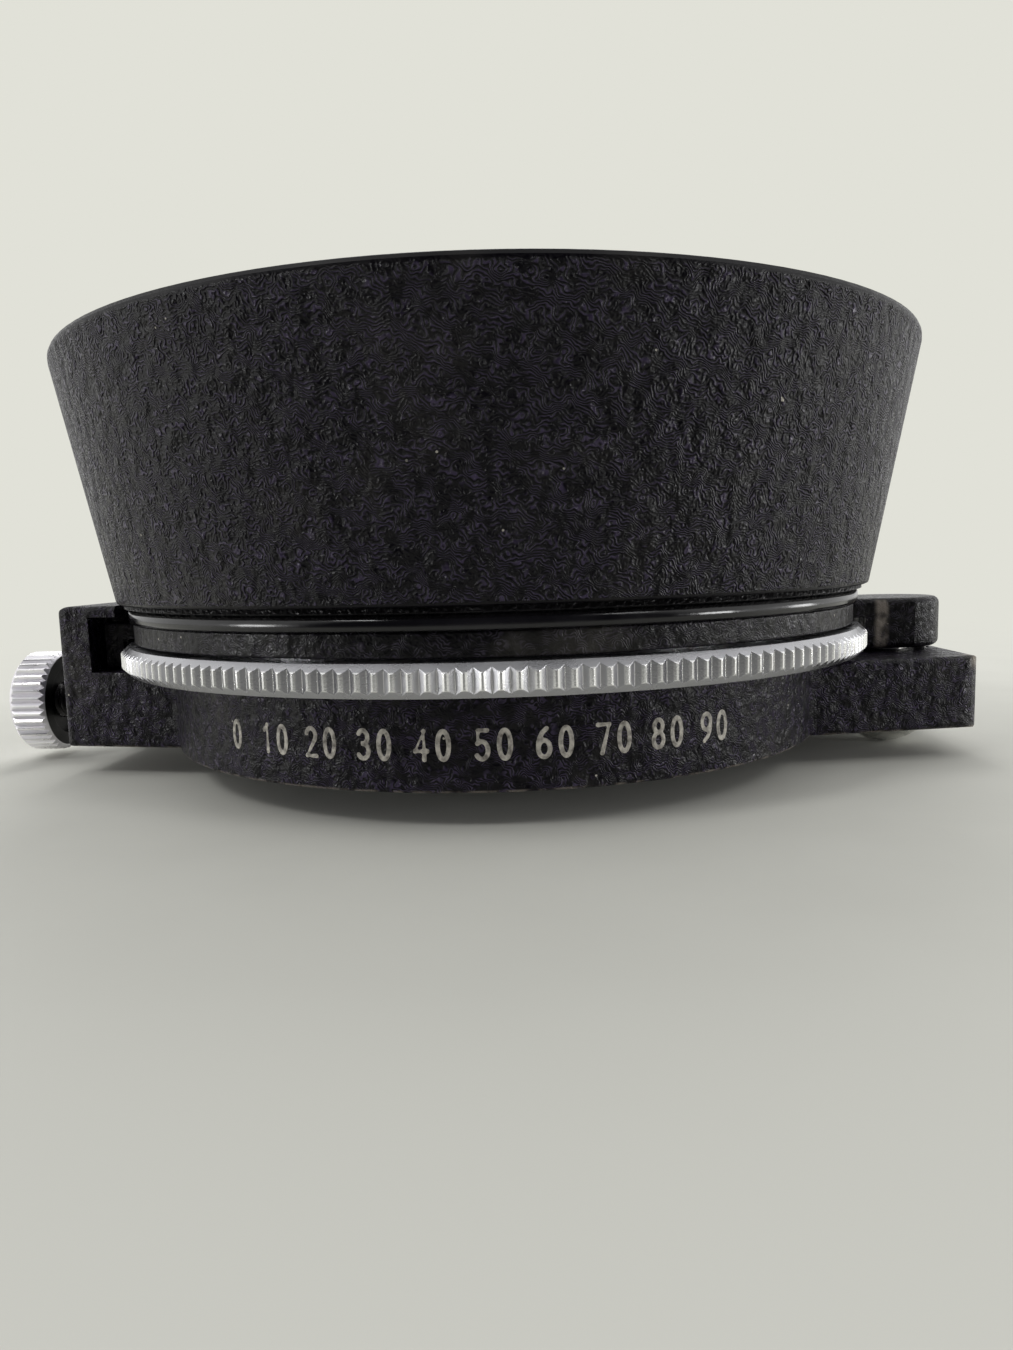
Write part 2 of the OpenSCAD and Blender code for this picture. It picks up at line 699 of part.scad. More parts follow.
module hood_nut() {
    z0 = foot_z + foot_flange_h;
    notch_w = 1.4;
    color(matte_black) difference() {
        ring(foot_r - hood_wall - nut_gap, spigot_r + seat, z0, z0 + nut_h);
        around(notch_count, spigot_r + nut_h) translate([0, -notch_w / 2, z0 + nut_h / 2])
            cube([foot_r, notch_w, nut_h]);
    }
}

// ---- filter -------------------------------------------------------------------

module knurled_ring() {
    z1 = knurl_z + knurl_h;
    color(bright_metal) difference() {
        union() {
            grooved_disc(knurl_r, knurl_depth, knurl_count, knurl_land, knurl_chamfer,
                         knurl_chamfer, knurl_z, z1);
            translate([0, 0, z1 - eps]) cylinder(r = hub_r, h = hub_top_z - z1 + eps);
        }
        translate([0, 0, knurl_z - cut]) cylinder(r = filter_clear_r, h = hub_top_z);
        translate([0, 0, glass_z]) cylinder(r = glass_seat_r, h = hub_top_z);
        around(keeper_screw_count, keeper_screw_at)
            translate([0, 0, hub_top_z - keeper_screw_len - keeper_gap])
            cylinder(r = keeper_screw_r + seat, h = keeper_screw_len + cut);
    }
}

module ring_keeper() {
    z1 = hub_top_z + keeper_t;
    color(matte_black) difference() {
        ring(keeper_r, glass_seat_r + 0.1, hub_top_z, z1);
        around(keeper_screw_count, keeper_screw_at)
            flat_screw_hole(hub_top_z - cut, z1, keeper_screw_r, keeper_screw_head_r);
    }
}

module keeper_screws() {
    color(steel) around(keeper_screw_count, keeper_screw_at)
        flat_screw(hub_top_z - keeper_screw_len, hub_top_z + keeper_t, keeper_screw_r, keeper_screw_head_r);
}

module rear_glass() color(filter_glass)
    translate([0, 0, glass_z]) cylinder(r = glass_r, h = glass_t);

module polarizing_film() color([0.2, 0.22, 0.22, 0.6])
    translate([0, 0, film_z]) cylinder(r = glass_r - 0.3, h = film_t);

module front_glass() color(filter_glass)
    translate([0, 0, front_glass_z]) cylinder(r = glass_r, h = glass_t);

module glass_retainer() {
    notch_w = 1.2;
    z1 = neck_z - 0.3;
    color(matte_black) difference() {
        ring(glass_seat_r - 0.04, filter_clear_r + 0.2, retainer_z, z1);
        around(2, filter_clear_r) translate([0, -notch_w / 2, z1 - 0.4])
            cube([3, notch_w, 1]);
    }
}

base_ring();
lens_liner();
clamp_shoe();
clamp_screw();
clamp_knob();
pivot_screw();
pivot_washer();
pivot_spring_washer();
click_ball();
click_spring();
click_plug();
swing_ring();
wave_spring();
neck_screws();
hood_neck();
hood_shell();
hood_nut();
knurled_ring();
ring_keeper();
keeper_screws();
rear_glass();
polarizing_film();
front_glass();
glass_retainer();
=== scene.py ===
# %% [markdown]
# # A swing-out polarising lens hood
#
# The hood is a small turned-metal assembly. A black clamp ring grips the lens, a ring beside it swings
# about a pin, a bright ring with V grooves turns the filter, and a cone of crinkle enamel shades it all.
# The CAD frame already holds every piece at its real size. This lesson gives each one its finish and adds
# what the frame leaves plain: the screw's thread, a merged copy of the click spring, and the numbered scale
# that is cut and filled by hand. The dust and wear of fifty years come with the finishes.

# %% Load the frame
import math

import bpy
from mathutils import Matrix, Vector


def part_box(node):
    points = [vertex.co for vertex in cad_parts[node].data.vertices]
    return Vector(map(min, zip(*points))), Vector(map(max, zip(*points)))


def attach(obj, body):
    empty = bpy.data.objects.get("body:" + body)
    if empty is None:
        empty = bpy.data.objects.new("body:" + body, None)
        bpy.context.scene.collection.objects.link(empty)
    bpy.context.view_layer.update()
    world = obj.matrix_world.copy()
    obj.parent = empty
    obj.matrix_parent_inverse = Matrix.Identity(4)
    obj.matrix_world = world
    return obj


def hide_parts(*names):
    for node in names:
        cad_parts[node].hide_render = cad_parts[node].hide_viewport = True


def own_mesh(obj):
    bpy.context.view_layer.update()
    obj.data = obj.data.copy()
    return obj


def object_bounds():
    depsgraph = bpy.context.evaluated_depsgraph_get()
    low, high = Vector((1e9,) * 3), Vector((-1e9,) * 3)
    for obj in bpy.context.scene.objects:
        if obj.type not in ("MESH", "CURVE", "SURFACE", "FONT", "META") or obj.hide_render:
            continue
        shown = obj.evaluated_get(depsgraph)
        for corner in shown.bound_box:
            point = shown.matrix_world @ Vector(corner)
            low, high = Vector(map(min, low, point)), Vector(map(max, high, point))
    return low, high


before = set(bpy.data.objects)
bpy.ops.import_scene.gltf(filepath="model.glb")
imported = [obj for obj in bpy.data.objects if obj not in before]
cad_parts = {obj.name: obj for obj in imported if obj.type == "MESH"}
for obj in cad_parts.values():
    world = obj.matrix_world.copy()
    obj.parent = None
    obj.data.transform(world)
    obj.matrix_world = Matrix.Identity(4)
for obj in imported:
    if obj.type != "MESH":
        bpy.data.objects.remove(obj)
cad_low, cad_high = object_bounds()
MM = 0.001
print("CAD box in mm:", [round((h - l) / MM, 2) for l, h in zip(cad_low, cad_high)])

# %% [markdown]
# ## Camera
#
# The camera comes first, because everything else is judged through it. It stands in front of the scale,
# a little above the clamp ring, looking slightly down. It is given as a place and three small turns:
# a turn to the left, a look downward and a tilt of the horizon. The long side of the picture is upright.

# %% Camera
CAMERA_PLACE = Vector((4.78, -79.46, 13.45)) * MM
CAMERA_TURN = 0.0495
CAMERA_DOWN = 0.12
CAMERA_TILT = -0.029
LENS_MM = 25.13

level_right = Vector((math.cos(CAMERA_TURN), math.sin(CAMERA_TURN), 0))
level_ahead = Vector((-math.sin(CAMERA_TURN), math.cos(CAMERA_TURN), 0))
UP = Vector((0, 0, 1))
ahead = math.cos(CAMERA_DOWN) * level_ahead - math.sin(CAMERA_DOWN) * UP
raised = math.sin(CAMERA_DOWN) * level_ahead + math.cos(CAMERA_DOWN) * UP
right = math.cos(CAMERA_TILT) * level_right + math.sin(CAMERA_TILT) * raised
upward = math.cos(CAMERA_TILT) * raised - math.sin(CAMERA_TILT) * level_right

bpy.ops.object.camera_add()
camera = bpy.context.object
camera.name = "camera"
camera.matrix_world = Matrix((
    (right.x, upward.x, -ahead.x, CAMERA_PLACE.x),
    (right.y, upward.y, -ahead.y, CAMERA_PLACE.y),
    (right.z, upward.z, -ahead.z, CAMERA_PLACE.z),
    (0, 0, 0, 1),
))
camera.data.lens = LENS_MM
camera.data.sensor_width = 36
camera.data.clip_start = 0.002
camera.data.clip_end = 20
bpy.context.scene.camera = camera
bpy.context.scene.view_settings.view_transform = "Standard"
print("camera looks along", [round(c, 3) for c in ahead])

# %% [markdown]
# ## Small helpers for materials
#
# Every finish below is a short chain of shader nodes. One function turns the sRGB hex colour that a
# painter would pick into the linear colour that the renderer needs. Another adds a node, sets its
# inputs and links it to earlier ones, so that a chain reads from top to bottom.

# %% Material helpers
def linear(hex_colour):
    """An sRGB hex colour as linear RGBA."""
    channels = [int(hex_colour[i:i + 2], 16) / 255 for i in (1, 3, 5)]
    return tuple(c / 12.92 if c <= 0.04045 else ((c + 0.055) / 1.055) ** 2.4 for c in channels) + (1,)


def add(material, kind, settings=None, **inputs):
    """Adds a node. An input is a value, or an earlier node's output socket to link from.

    Inputs go by their names, with _ for a space, or by number as i0, i1 and so on.
    """
    node = material.node_tree.nodes.new(kind)
    for name, value in (settings or {}).items():
        setattr(node, name, value)
    for name, value in inputs.items():
        by_number = name[0] == "i" and name[1:].isdigit()
        socket = node.inputs[int(name[1:]) if by_number else name.replace("_", " ")]
        if isinstance(value, bpy.types.NodeSocket):
            material.node_tree.links.new(value, socket)
        else:
            socket.default_value = value
    return node


def new_material(name):
    """A material with only a Principled shader, and that shader."""
    material = bpy.data.materials.new(name)
    material.use_nodes = True
    shader = material.node_tree.nodes["Principled BSDF"]
    return material, shader


def link(material, output, socket):
    """Links an output socket to an input socket."""
    material.node_tree.links.new(output, socket)


def ramp(material, factor, low, high, low_colour=(0, 0, 0, 1), high_colour=(1, 1, 1, 1)):
    """A colour ramp between two places."""
    node = add(material, "ShaderNodeValToRGB", Fac=factor)
    node.color_ramp.elements[0].position = low
    node.color_ramp.elements[0].color = low_colour
    node.color_ramp.elements[1].position = high
    node.color_ramp.elements[1].color = high_colour
    return node.outputs["Color"]


def scale_for(size_mm):
    """The scale of a noise whose cells are about this many millimetres across."""
    return 1000 / size_mm


def math_node(material, operation, first, second=None):
    """One step of arithmetic on sockets or numbers."""
    inputs = {"i0": first} if second is None else {"i0": first, "i1": second}
    return add(material, "ShaderNodeMath", {"operation": operation}, **inputs).outputs["Value"]


def step(material, value, start, end, low=0.0, high=1.0):
    """Runs smoothly from low to high while value runs from start to end."""
    return add(material, "ShaderNodeMapRange", {"interpolation_type": "SMOOTHSTEP"}, Value=value,
               From_Min=start, From_Max=end, To_Min=low, To_Max=high).outputs["Result"]


def blend_colours(material, factor, first, second):
    """Mixes two colours, each a value or a socket."""
    node = add(material, "ShaderNodeMix", {"data_type": "RGBA"})
    for name, value in (("Factor", factor), ("A", first), ("B", second)):
        socket = next(s for s in node.inputs if s.name == name and s.enabled)
        if isinstance(value, bpy.types.NodeSocket):
            link(material, value, socket)
        else:
            socket.default_value = value
    return next(s for s in node.outputs if s.enabled)


def object_place(material):
    """Where a point lies on the hood, in metres."""
    return add(material, "ShaderNodeTexCoord").outputs["Object"]


def radius_and_height(material, place):
    """Distance from the optical axis and height above the clamp ring's lens side, in metres."""
    parts = add(material, "ShaderNodeSeparateXYZ", Vector=place)
    flat = add(material, "ShaderNodeVectorMath", {"operation": "MULTIPLY"}, i0=place, i1=(1, 1, 0))
    length = add(material, "ShaderNodeVectorMath", {"operation": "LENGTH"}, i0=flat.outputs["Vector"])
    return length.outputs["Value"], parts.outputs["Z"]


def near_point(material, place, centre_mm, reach_mm):
    """1 close to a point, 0 from reach_mm away."""
    gap = add(material, "ShaderNodeVectorMath", {"operation": "DISTANCE"},
              i0=place, i1=tuple(c * MM for c in centre_mm))
    return step(material, gap.outputs["Value"], reach_mm * MM, reach_mm * MM * 0.25)

# %% [markdown]
# ## Crinkle enamel
#
# The hood and the clamp ring wear crinkle enamel: a thick black varnish that skins over in the oven and
# shrinks into fine worm-like wrinkles. A sine wave over the height draws level ridges one wrinkle apart.
# Two soft noises are added to the height first, so the ridges bend and swirl like a fingerprint. Broader
# noises flatten them in patches and leave low swellings under them. Dust settles in patches, with a few
# specks and torn flakes of lint, and rubbed places are grey-brown. The hood's rim and foot were wiped
# smooth before baking.

# %% Crinkle enamel
ENAMEL_BLACK = "#130f1a"
ENAMEL_IOR = 1.29
DUST = "#c4bfb4"
RUBBED_THROUGH = "#8d857c"
# the two bending noises: the size of their cells and how far they carry a ridge, both in wrinkles
BEND_SIZE, BEND_REACH = 4.5, 9.5
KINK_SIZE, KINK_REACH = 2.1, 4.0
LEAN = (0.35, 0.1, 1)                      # mostly upward, so the ridges lie level with a slight slope
TEAR = (0.3 * MM, 0.1 * MM, 0.2 * MM)      # how far a flake of lint is pulled out of round


def specks(material, place, cell_mm, edge, core, share):
    """1 in the middles of a few Voronoi cells. share is the part of the cells that hold a speck."""
    cells = add(material, "ShaderNodeTexVoronoi", Vector=place, Scale=scale_for(cell_mm))
    chance = add(material, "ShaderNodeSeparateColor", Color=cells.outputs["Color"]).outputs["Red"]
    return math_node(material, "MULTIPLY", step(material, cells.outputs["Distance"], edge, core),
                     math_node(material, "GREATER_THAN", chance, 1 - share))


def crinkle_enamel(name, wrinkle_mm, depth_mm, lumps_mm, dusty, colour=ENAMEL_BLACK, smooth=None, worn=None):
    """smooth and worn are functions that give a mask for a place."""
    material, shader = new_material(name)
    place = object_place(material)
    # bands round the optical axis, bent hard by two soft noises until they swirl like a fingerprint
    bend = add(material, "ShaderNodeTexNoise", Vector=place, Scale=scale_for(wrinkle_mm * BEND_SIZE),
               Detail=1.0, Roughness=0.4)
    kink = add(material, "ShaderNodeTexNoise", Vector=place, Scale=scale_for(wrinkle_mm * KINK_SIZE),
               Detail=1.0)
    along = add(material, "ShaderNodeVectorMath", {"operation": "DOT_PRODUCT"},
                i0=place, i1=tuple(c / MM for c in LEAN)).outputs["Value"]
    along = math_node(material, "ADD", along,
                      math_node(material, "MULTIPLY", bend.outputs["Fac"], wrinkle_mm * BEND_REACH))
    along = math_node(material, "ADD", along,
                      math_node(material, "MULTIPLY", kink.outputs["Fac"], wrinkle_mm * KINK_REACH))
    wave = math_node(material, "SINE", math_node(material, "MULTIPLY", along, 2 * math.pi / wrinkle_mm))
    height = step(material, wave, -1.0, 1.0)
    patches = add(material, "ShaderNodeTexNoise", Vector=place, Scale=scale_for(0.7), Detail=1.0)
    crinkled = step(material, patches.outputs["Fac"], 0.35, 0.65, 0.3, 1.0)
    swelling = add(material, "ShaderNodeTexNoise", Vector=place, Scale=scale_for(1.1), Detail=3.0)
    grain = 1.0
    if smooth:
        grain = math_node(material, "SUBTRACT", 1.0, smooth(material, place))
        crinkled = math_node(material, "MULTIPLY", crinkled, grain)
    wide = add(material, "ShaderNodeBump", Strength=grain, Distance=lumps_mm * MM,
               Height=swelling.outputs["Fac"])
    fine = add(material, "ShaderNodeBump", Strength=crinkled, Distance=depth_mm * MM,
               Height=height, Normal=wide.outputs["Normal"])
    link(material, fine.outputs["Normal"], shader.inputs["Normal"])
    # painted highlight and shade: the ridges are painted paler than the enamel, as lit crests, and the
    # valleys darker, as shaded hollows
    body = linear(colour)
    painted_ridge_highlight = tuple(c * 6.0 + 0.006 for c in body[:3]) + (1,)
    crest = math_node(material, "MULTIPLY", height, crinkled)
    tone = ramp(material, crest, 0.35, 1.0, tuple(c * 0.3 for c in body[:3]) + (1,), painted_ridge_highlight)
    # a thin film of dust in patches, single specks, and larger flakes of lint
    film = add(material, "ShaderNodeTexNoise", Vector=place, Scale=scale_for(5), Detail=5.0)
    haze = step(material, film.outputs["Fac"], 0.5, 0.8, 0.0, 0.05 * dusty)
    # the flakes are torn, so their cells are looked up at a place that a fine noise pulls about
    tear = add(material, "ShaderNodeTexNoise", Vector=place, Scale=scale_for(0.25), Detail=2.0)
    pulled = add(material, "ShaderNodeVectorMath", {"operation": "MULTIPLY_ADD"},
                 i0=tear.outputs["Color"], i1=TEAR, i2=place).outputs["Vector"]
    speck = specks(material, place, cell_mm=0.8, edge=0.11, core=0.06, share=0.09 * dusty)
    flake = specks(material, pulled, cell_mm=3, edge=0.05, core=0.035, share=0.16 * dusty)
    lint = math_node(material, "MAXIMUM", math_node(material, "MULTIPLY", speck, 0.8),
                     math_node(material, "MULTIPLY", flake, 0.9))
    dust = math_node(material, "MAXIMUM", haze, lint)
    dusted = blend_colours(material, dust, tone, linear(DUST))
    if worn:
        dusted = blend_colours(material, worn(material, place), dusted, linear(RUBBED_THROUGH))
    link(material, dusted, shader.inputs["Base Color"])
    # rough in the valleys, smoother on the ridges
    link(material, step(material, height, 0.0, 1.0, 0.45, 0.28), shader.inputs["Roughness"])
    shader.inputs["IOR"].default_value = ENAMEL_IOR
    return material


# the hood: smooth at the rim, at the foot and inside
RIM_BAND, RIM_FADE = 0.35 * MM, 0.30 * MM
FOOT_BAND, FOOT_FADE = 0.15 * MM, 0.10 * MM
FOOT_RADIUS = 29.46 * MM
INSIDE_FROM = 0.8 * MM                     # how far in from the outer wall the wiped inside begins
hood_low, hood_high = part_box("hood_shell")
print("hood from", round(hood_low.z / MM, 2), "to", round(hood_high.z / MM, 2), "mm")


def wiped_places(material, place):
    """1 at the rim, at the foot and inside the cone, 0 on the crinkled outside."""
    radius, height = radius_and_height(material, place)
    rim = step(material, height, hood_high.z - RIM_BAND - RIM_FADE, hood_high.z - RIM_BAND)
    foot = step(material, height, hood_low.z + FOOT_BAND + FOOT_FADE, hood_low.z + FOOT_BAND)
    # the cone's inner wall lies about 1.1 mm inside its outer wall
    slope = (hood_high.x - FOOT_RADIUS) / (hood_high.z - hood_low.z)
    outer = math_node(material, "MULTIPLY_ADD", height, slope)
    outer.node.inputs[2].default_value = FOOT_RADIUS - slope * hood_low.z
    inside = math_node(material, "GREATER_THAN", math_node(material, "SUBTRACT", outer, radius), INSIDE_FROM)
    return math_node(material, "MAXIMUM", math_node(material, "MAXIMUM", rim, foot), inside)


# the clamp ring: rubbed on its lower edge and at the hinge lug's corner
ring_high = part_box("base_ring")[1]
RUBBED_CORNER_MM = (ring_high.x / MM - 0.6, -7.2, 5.4)


def rubbed_places(material, place):
    """A patchy mask along the clamp ring's lower edge and on the lug's corner."""
    radius, height = radius_and_height(material, place)
    patchy = add(material, "ShaderNodeTexNoise", Vector=place, Scale=scale_for(1.2), Detail=5.0)
    edge = math_node(material, "MULTIPLY", step(material, height, 0.22 * MM, 0.08 * MM),
                     step(material, radius, 25.2 * MM, 25.5 * MM))
    edge = math_node(material, "MULTIPLY", edge, step(material, patchy.outputs["Fac"], 0.42, 0.60, 0, 0.6))
    corner = near_point(material, place, RUBBED_CORNER_MM, 1.3)
    corner = math_node(material, "MULTIPLY", corner,
                       step(material, patchy.outputs["Fac"], 0.35, 0.6, 0.1, 0.9))
    return math_node(material, "MAXIMUM", edge, corner)


# the hinge block: a strip where the ring beside it has rubbed
STRIP_MIDDLE = 30.7 * MM


def rubbed_strip(material, place):
    """A patchy upright strip on the block's front."""
    parts = add(material, "ShaderNodeSeparateXYZ", Vector=place)
    across = math_node(material, "ABSOLUTE",
                       math_node(material, "SUBTRACT", parts.outputs["X"], STRIP_MIDDLE))
    front = step(material, parts.outputs["Y"], -3.7 * MM, -4.0 * MM)
    patchy = add(material, "ShaderNodeTexNoise", Vector=place, Scale=scale_for(0.9), Detail=4.0)
    strip = math_node(material, "MULTIPLY", step(material, across, 0.7 * MM, 0.2 * MM), front)
    return math_node(material, "MULTIPLY", strip,
                     step(material, patchy.outputs["Fac"], 0.35, 0.6, 0.15, 0.75))


hood_enamel = crinkle_enamel("crinkle enamel on the hood", wrinkle_mm=0.28, depth_mm=0.30, lumps_mm=0.65,
                             dusty=0.5, smooth=wiped_places)
ring_enamel = crinkle_enamel("crinkle enamel on the clamp ring", wrinkle_mm=0.25, depth_mm=0.05,
                             lumps_mm=0.45, dusty=0.9, worn=rubbed_places)
swing_enamel = crinkle_enamel("thin crinkle enamel on the swing ring", wrinkle_mm=0.25, depth_mm=0.014,
                              lumps_mm=0.25, dusty=1.4, colour="#0e0c11", worn=rubbed_strip)

# %% [markdown]
# ## Black paints
#
# The hood's neck is brushed with a gloss enamel that has gone slightly uneven, so it mirrors the room in
# soft streaks. The small inner rings are blackened brass: a matte chemical black with a trace of metal.

# %% Gloss enamel and blackened brass
DOME_HEIGHT = 0.10 * MM
COLLAR_HEIGHT = 0.65 * MM                  # a groove and a thin collar lie between the band and the hood


def black_paint(name, colour, roughness_low, roughness_high, bump_mm, band=None):
    """band is the height of the middle and the half height of a domed glossy band, in metres."""
    material, shader = new_material(name)
    place = object_place(material)
    uneven = add(material, "ShaderNodeTexNoise", Vector=place, Scale=scale_for(3), Detail=4.0)
    orange_peel = add(material, "ShaderNodeTexNoise", Vector=place, Scale=scale_for(0.5), Detail=2.0)
    bump = add(material, "ShaderNodeBump", Strength=0.4, Distance=bump_mm * MM,
               Height=orange_peel.outputs["Fac"])
    rough = step(material, uneven.outputs["Fac"], 0.3, 0.75, roughness_low, roughness_high)
    if band:
        # the wet paint draws back from both edges, so the band is slightly domed
        middle, half = band
        height = radius_and_height(material, place)[1]
        off = math_node(material, "DIVIDE", math_node(material, "SUBTRACT", height, middle), half)
        dome = math_node(material, "SUBTRACT", 1.0, math_node(material, "MULTIPLY", off, off))
        domed = add(material, "ShaderNodeBump", Strength=1.0, Distance=DOME_HEIGHT, Height=dome)
        link(material, domed.outputs["Normal"], bump.inputs["Normal"])
        # the collar above it took the hood's crinkle enamel
        collar = step(material, height, middle + half + 0.20 * MM, middle + half + 0.25 * MM)
        wrinkles = add(material, "ShaderNodeTexNoise", Vector=place, Scale=scale_for(0.3), Detail=2.0)
        bump = add(material, "ShaderNodeBump", Strength=collar, Distance=0.25 * MM,
                   Height=wrinkles.outputs["Fac"], Normal=bump.outputs["Normal"])
        rough = math_node(material, "MAXIMUM", rough, math_node(material, "MULTIPLY", collar, 0.42))
    link(material, bump.outputs["Normal"], shader.inputs["Normal"])
    link(material, rough, shader.inputs["Roughness"])
    body = linear(colour)
    dusty = tuple(c * 2.5 + 0.004 for c in body[:3]) + (1,)
    link(material, ramp(material, uneven.outputs["Fac"], 0.45, 0.8, body, dusty),
         shader.inputs["Base Color"])
    shader.inputs["IOR"].default_value = 1.5
    return material


band_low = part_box("hood_neck")[0].z
band_high = hood_low.z - COLLAR_HEIGHT
gloss_enamel = black_paint("gloss enamel", "#0b0a0d", 0.12, 0.24, 0.012,
                           band=((band_high + band_low) / 2, (band_high - band_low) / 2))
blackened_brass = black_paint("blackened brass", "#141314", 0.45, 0.6, 0.006)

# %% [markdown]
# ## Chrome and steel
#
# The knurled ring and the knob are turned brass with a satin chrome plate. Fingers polish the narrow lands
# and leave the bottoms of the grooves dull, so both colour and roughness follow the depth below the
# outermost radius. A Bevel node rounds the shading at every edge, as wear does, and a thin bright line along
# each groove's bottom is a painted highlight. The hidden screws and springs are plain turned steel.

# %% Satin chrome and steel
WORN_EDGE = 0.045 * MM                     # the radius to which wear has rounded the edges


def satin_metal(name, bright, dull, roughness_bright, roughness_dull, depth_of=None,
                line_of=None, line=None):
    """depth_of gives 0 on the polished lands and 1 in the grooves, line_of 1 where a colour lies over."""
    material, shader = new_material(name)
    shader.inputs["Metallic"].default_value = 1.0
    place = object_place(material)
    # every sharp edge is worn round, which draws the thin bright lines
    worn_edge = add(material, "ShaderNodeBevel", {"samples": 4}, Radius=WORN_EDGE)
    marks = add(material, "ShaderNodeTexNoise", Vector=place, Scale=scale_for(0.12), Detail=3.0)
    bump = add(material, "ShaderNodeBump", Strength=0.35, Distance=0.010 * MM,
               Height=marks.outputs["Fac"], Normal=worn_edge.outputs["Normal"])
    link(material, bump.outputs["Normal"], shader.inputs["Normal"])
    blotch = add(material, "ShaderNodeTexNoise", Vector=place, Scale=scale_for(2.5), Detail=4.0)
    handled = step(material, blotch.outputs["Fac"], 0.35, 0.7, -0.05, 0.08)
    depth = depth_of(material, place) if depth_of else step(material, blotch.outputs["Fac"], 0.4, 0.7)
    tone = blend_colours(material, depth, linear(bright), linear(dull))
    if line_of:
        tone = blend_colours(material, line_of(material, place), tone, linear(line))
    link(material, tone, shader.inputs["Base Color"])
    rough = step(material, depth, 0.0, 1.0, roughness_bright, roughness_dull)
    link(material, math_node(material, "ADD", rough, handled), shader.inputs["Roughness"])
    return material


GROOVE_DEPTH = 0.29 * MM
POLISHED_TO, DULL_FROM = 0.04 * MM, 0.12 * MM     # depths below the outermost radius
RIM_MIDDLE = 0.99 * MM                     # from the knurled ring's lower face to the middle of its edge
KNOB_RIDGE = 0.34 * MM
knurl_low, knurl_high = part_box("knurled_ring")
knob_low, knob_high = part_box("clamp_knob")
knob_centre = (knob_low + knob_high) / 2
knob_edge = (knob_high.z - knob_low.z) / 2
print("knurled ring radius", round(knurl_high.x / MM, 2), "mm, knob centre",
      [round(c / MM, 2) for c in knob_centre])


def depth_in_knurl(material, place):
    """0 on the lands of the knurled ring, 1 in its grooves."""
    radius, _ = radius_and_height(material, place)
    return step(material, radius, knurl_high.x - POLISHED_TO, knurl_high.x - DULL_FROM)


def painted_groove_highlight(material, place):
    """A painted highlight: a thin bright line along the bottom of each groove, on the part between the
    chamfers.
    """
    radius, height = radius_and_height(material, place)
    deep = step(material, radius, knurl_high.x - GROOVE_DEPTH * 0.88, knurl_high.x - GROOVE_DEPTH * 0.98)
    off_middle = math_node(material, "ABSOLUTE",
                           math_node(material, "SUBTRACT", height, knurl_low.z + RIM_MIDDLE))
    between = step(material, off_middle, 0.66 * MM, 0.56 * MM)
    return math_node(material, "MULTIPLY", deep, between)


def radius_from_knob_axis(material, place):
    """Distance from the clamp screw's axis, in metres."""
    flat = add(material, "ShaderNodeVectorMath", {"operation": "SUBTRACT"}, i0=place, i1=tuple(knob_centre))
    flat = add(material, "ShaderNodeVectorMath", {"operation": "MULTIPLY"}, i0=flat.outputs["Vector"],
               i1=(0, 1, 1))
    return add(material, "ShaderNodeVectorMath", {"operation": "LENGTH"},
               i0=flat.outputs["Vector"]).outputs["Value"]


def depth_in_knob(material, place):
    """0 on the knob's ridges, 1 between them."""
    radius = radius_from_knob_axis(material, place)
    return step(material, radius, knob_edge - POLISHED_TO, knob_edge - DULL_FROM)


def painted_shade_on_knob_face(material, place):
    """Painted shade: the knob's face towards the lug, inside its ridges, is painted near black, as it lies
    in shade.
    """
    inward = add(material, "ShaderNodeSeparateXYZ", Vector=place).outputs["X"]
    face = step(material, inward, knob_high.x - 0.60 * MM, knob_high.x - 0.45 * MM)
    radius = radius_from_knob_axis(material, place)
    inner = step(material, radius, knob_edge - KNOB_RIDGE, knob_edge - KNOB_RIDGE - 0.08 * MM)
    return math_node(material, "MULTIPLY", face, inner)


# on the knurled ring, a painted highlight: a bright line along each groove's bottom
knurl_chrome = satin_metal("satin chrome on the knurled ring", "#ffffff", "#bfbfc3", 0.18, 0.27,
                           depth_of=depth_in_knurl, line_of=painted_groove_highlight, line="#f8f8f8")
# on the knob, painted shade: its face towards the lug is painted near black
knob_chrome = satin_metal("satin chrome on the knob", "#fbfafc", "#f3f1f6", 0.3, 0.44,
                          depth_of=depth_in_knob, line_of=painted_shade_on_knob_face, line="#161517")
screw_chrome = satin_metal("satin chrome", "#e4e4e1", "#bcbcb9", 0.2, 0.34)
turned_steel = satin_metal("turned steel", "#b9b8b5", "#8d8c8a", 0.28, 0.42)
# painted shade: the clamp screw's steel is painted dark, as it lies in the shade between the knob and the
# lug
steel_painted_dark_for_shade = satin_metal("steel painted dark for shade", "#4c4b4b", "#2c2b2b", 0.3, 0.45)

# %% [markdown]
# ## Glass, film and liner
#
# The two cover glasses are thin crown glass. Between them lies the polarising film, which takes away half
# of the light and leaves a neutral grey. The liner and the shoe that touch the lens are black vulcanised
# fibre: matte, with short fibres pressed into it.

# %% Glass, film and fibre
cover_glass, shader = new_material("crown glass")
shader.inputs["Base Color"].default_value = linear("#f4f7f5")
shader.inputs["Transmission Weight"].default_value = 1.0
shader.inputs["IOR"].default_value = 1.52
smears = add(cover_glass, "ShaderNodeTexNoise", Vector=object_place(cover_glass), Scale=scale_for(9),
             Detail=3.0)
link(cover_glass, step(cover_glass, smears.outputs["Fac"], 0.4, 0.8, 0.01, 0.06),
     shader.inputs["Roughness"])

grey_film, shader = new_material("polarising film")
density = add(grey_film, "ShaderNodeTexNoise", Vector=object_place(grey_film), Scale=scale_for(14),
              Detail=1.0)
link(grey_film, ramp(grey_film, density.outputs["Fac"], 0.3, 0.7, linear("#6d716f"), linear("#757977")),
     shader.inputs["Base Color"])
shader.inputs["Transmission Weight"].default_value = 1.0
shader.inputs["Roughness"].default_value = 0.02
shader.inputs["IOR"].default_value = 1.49

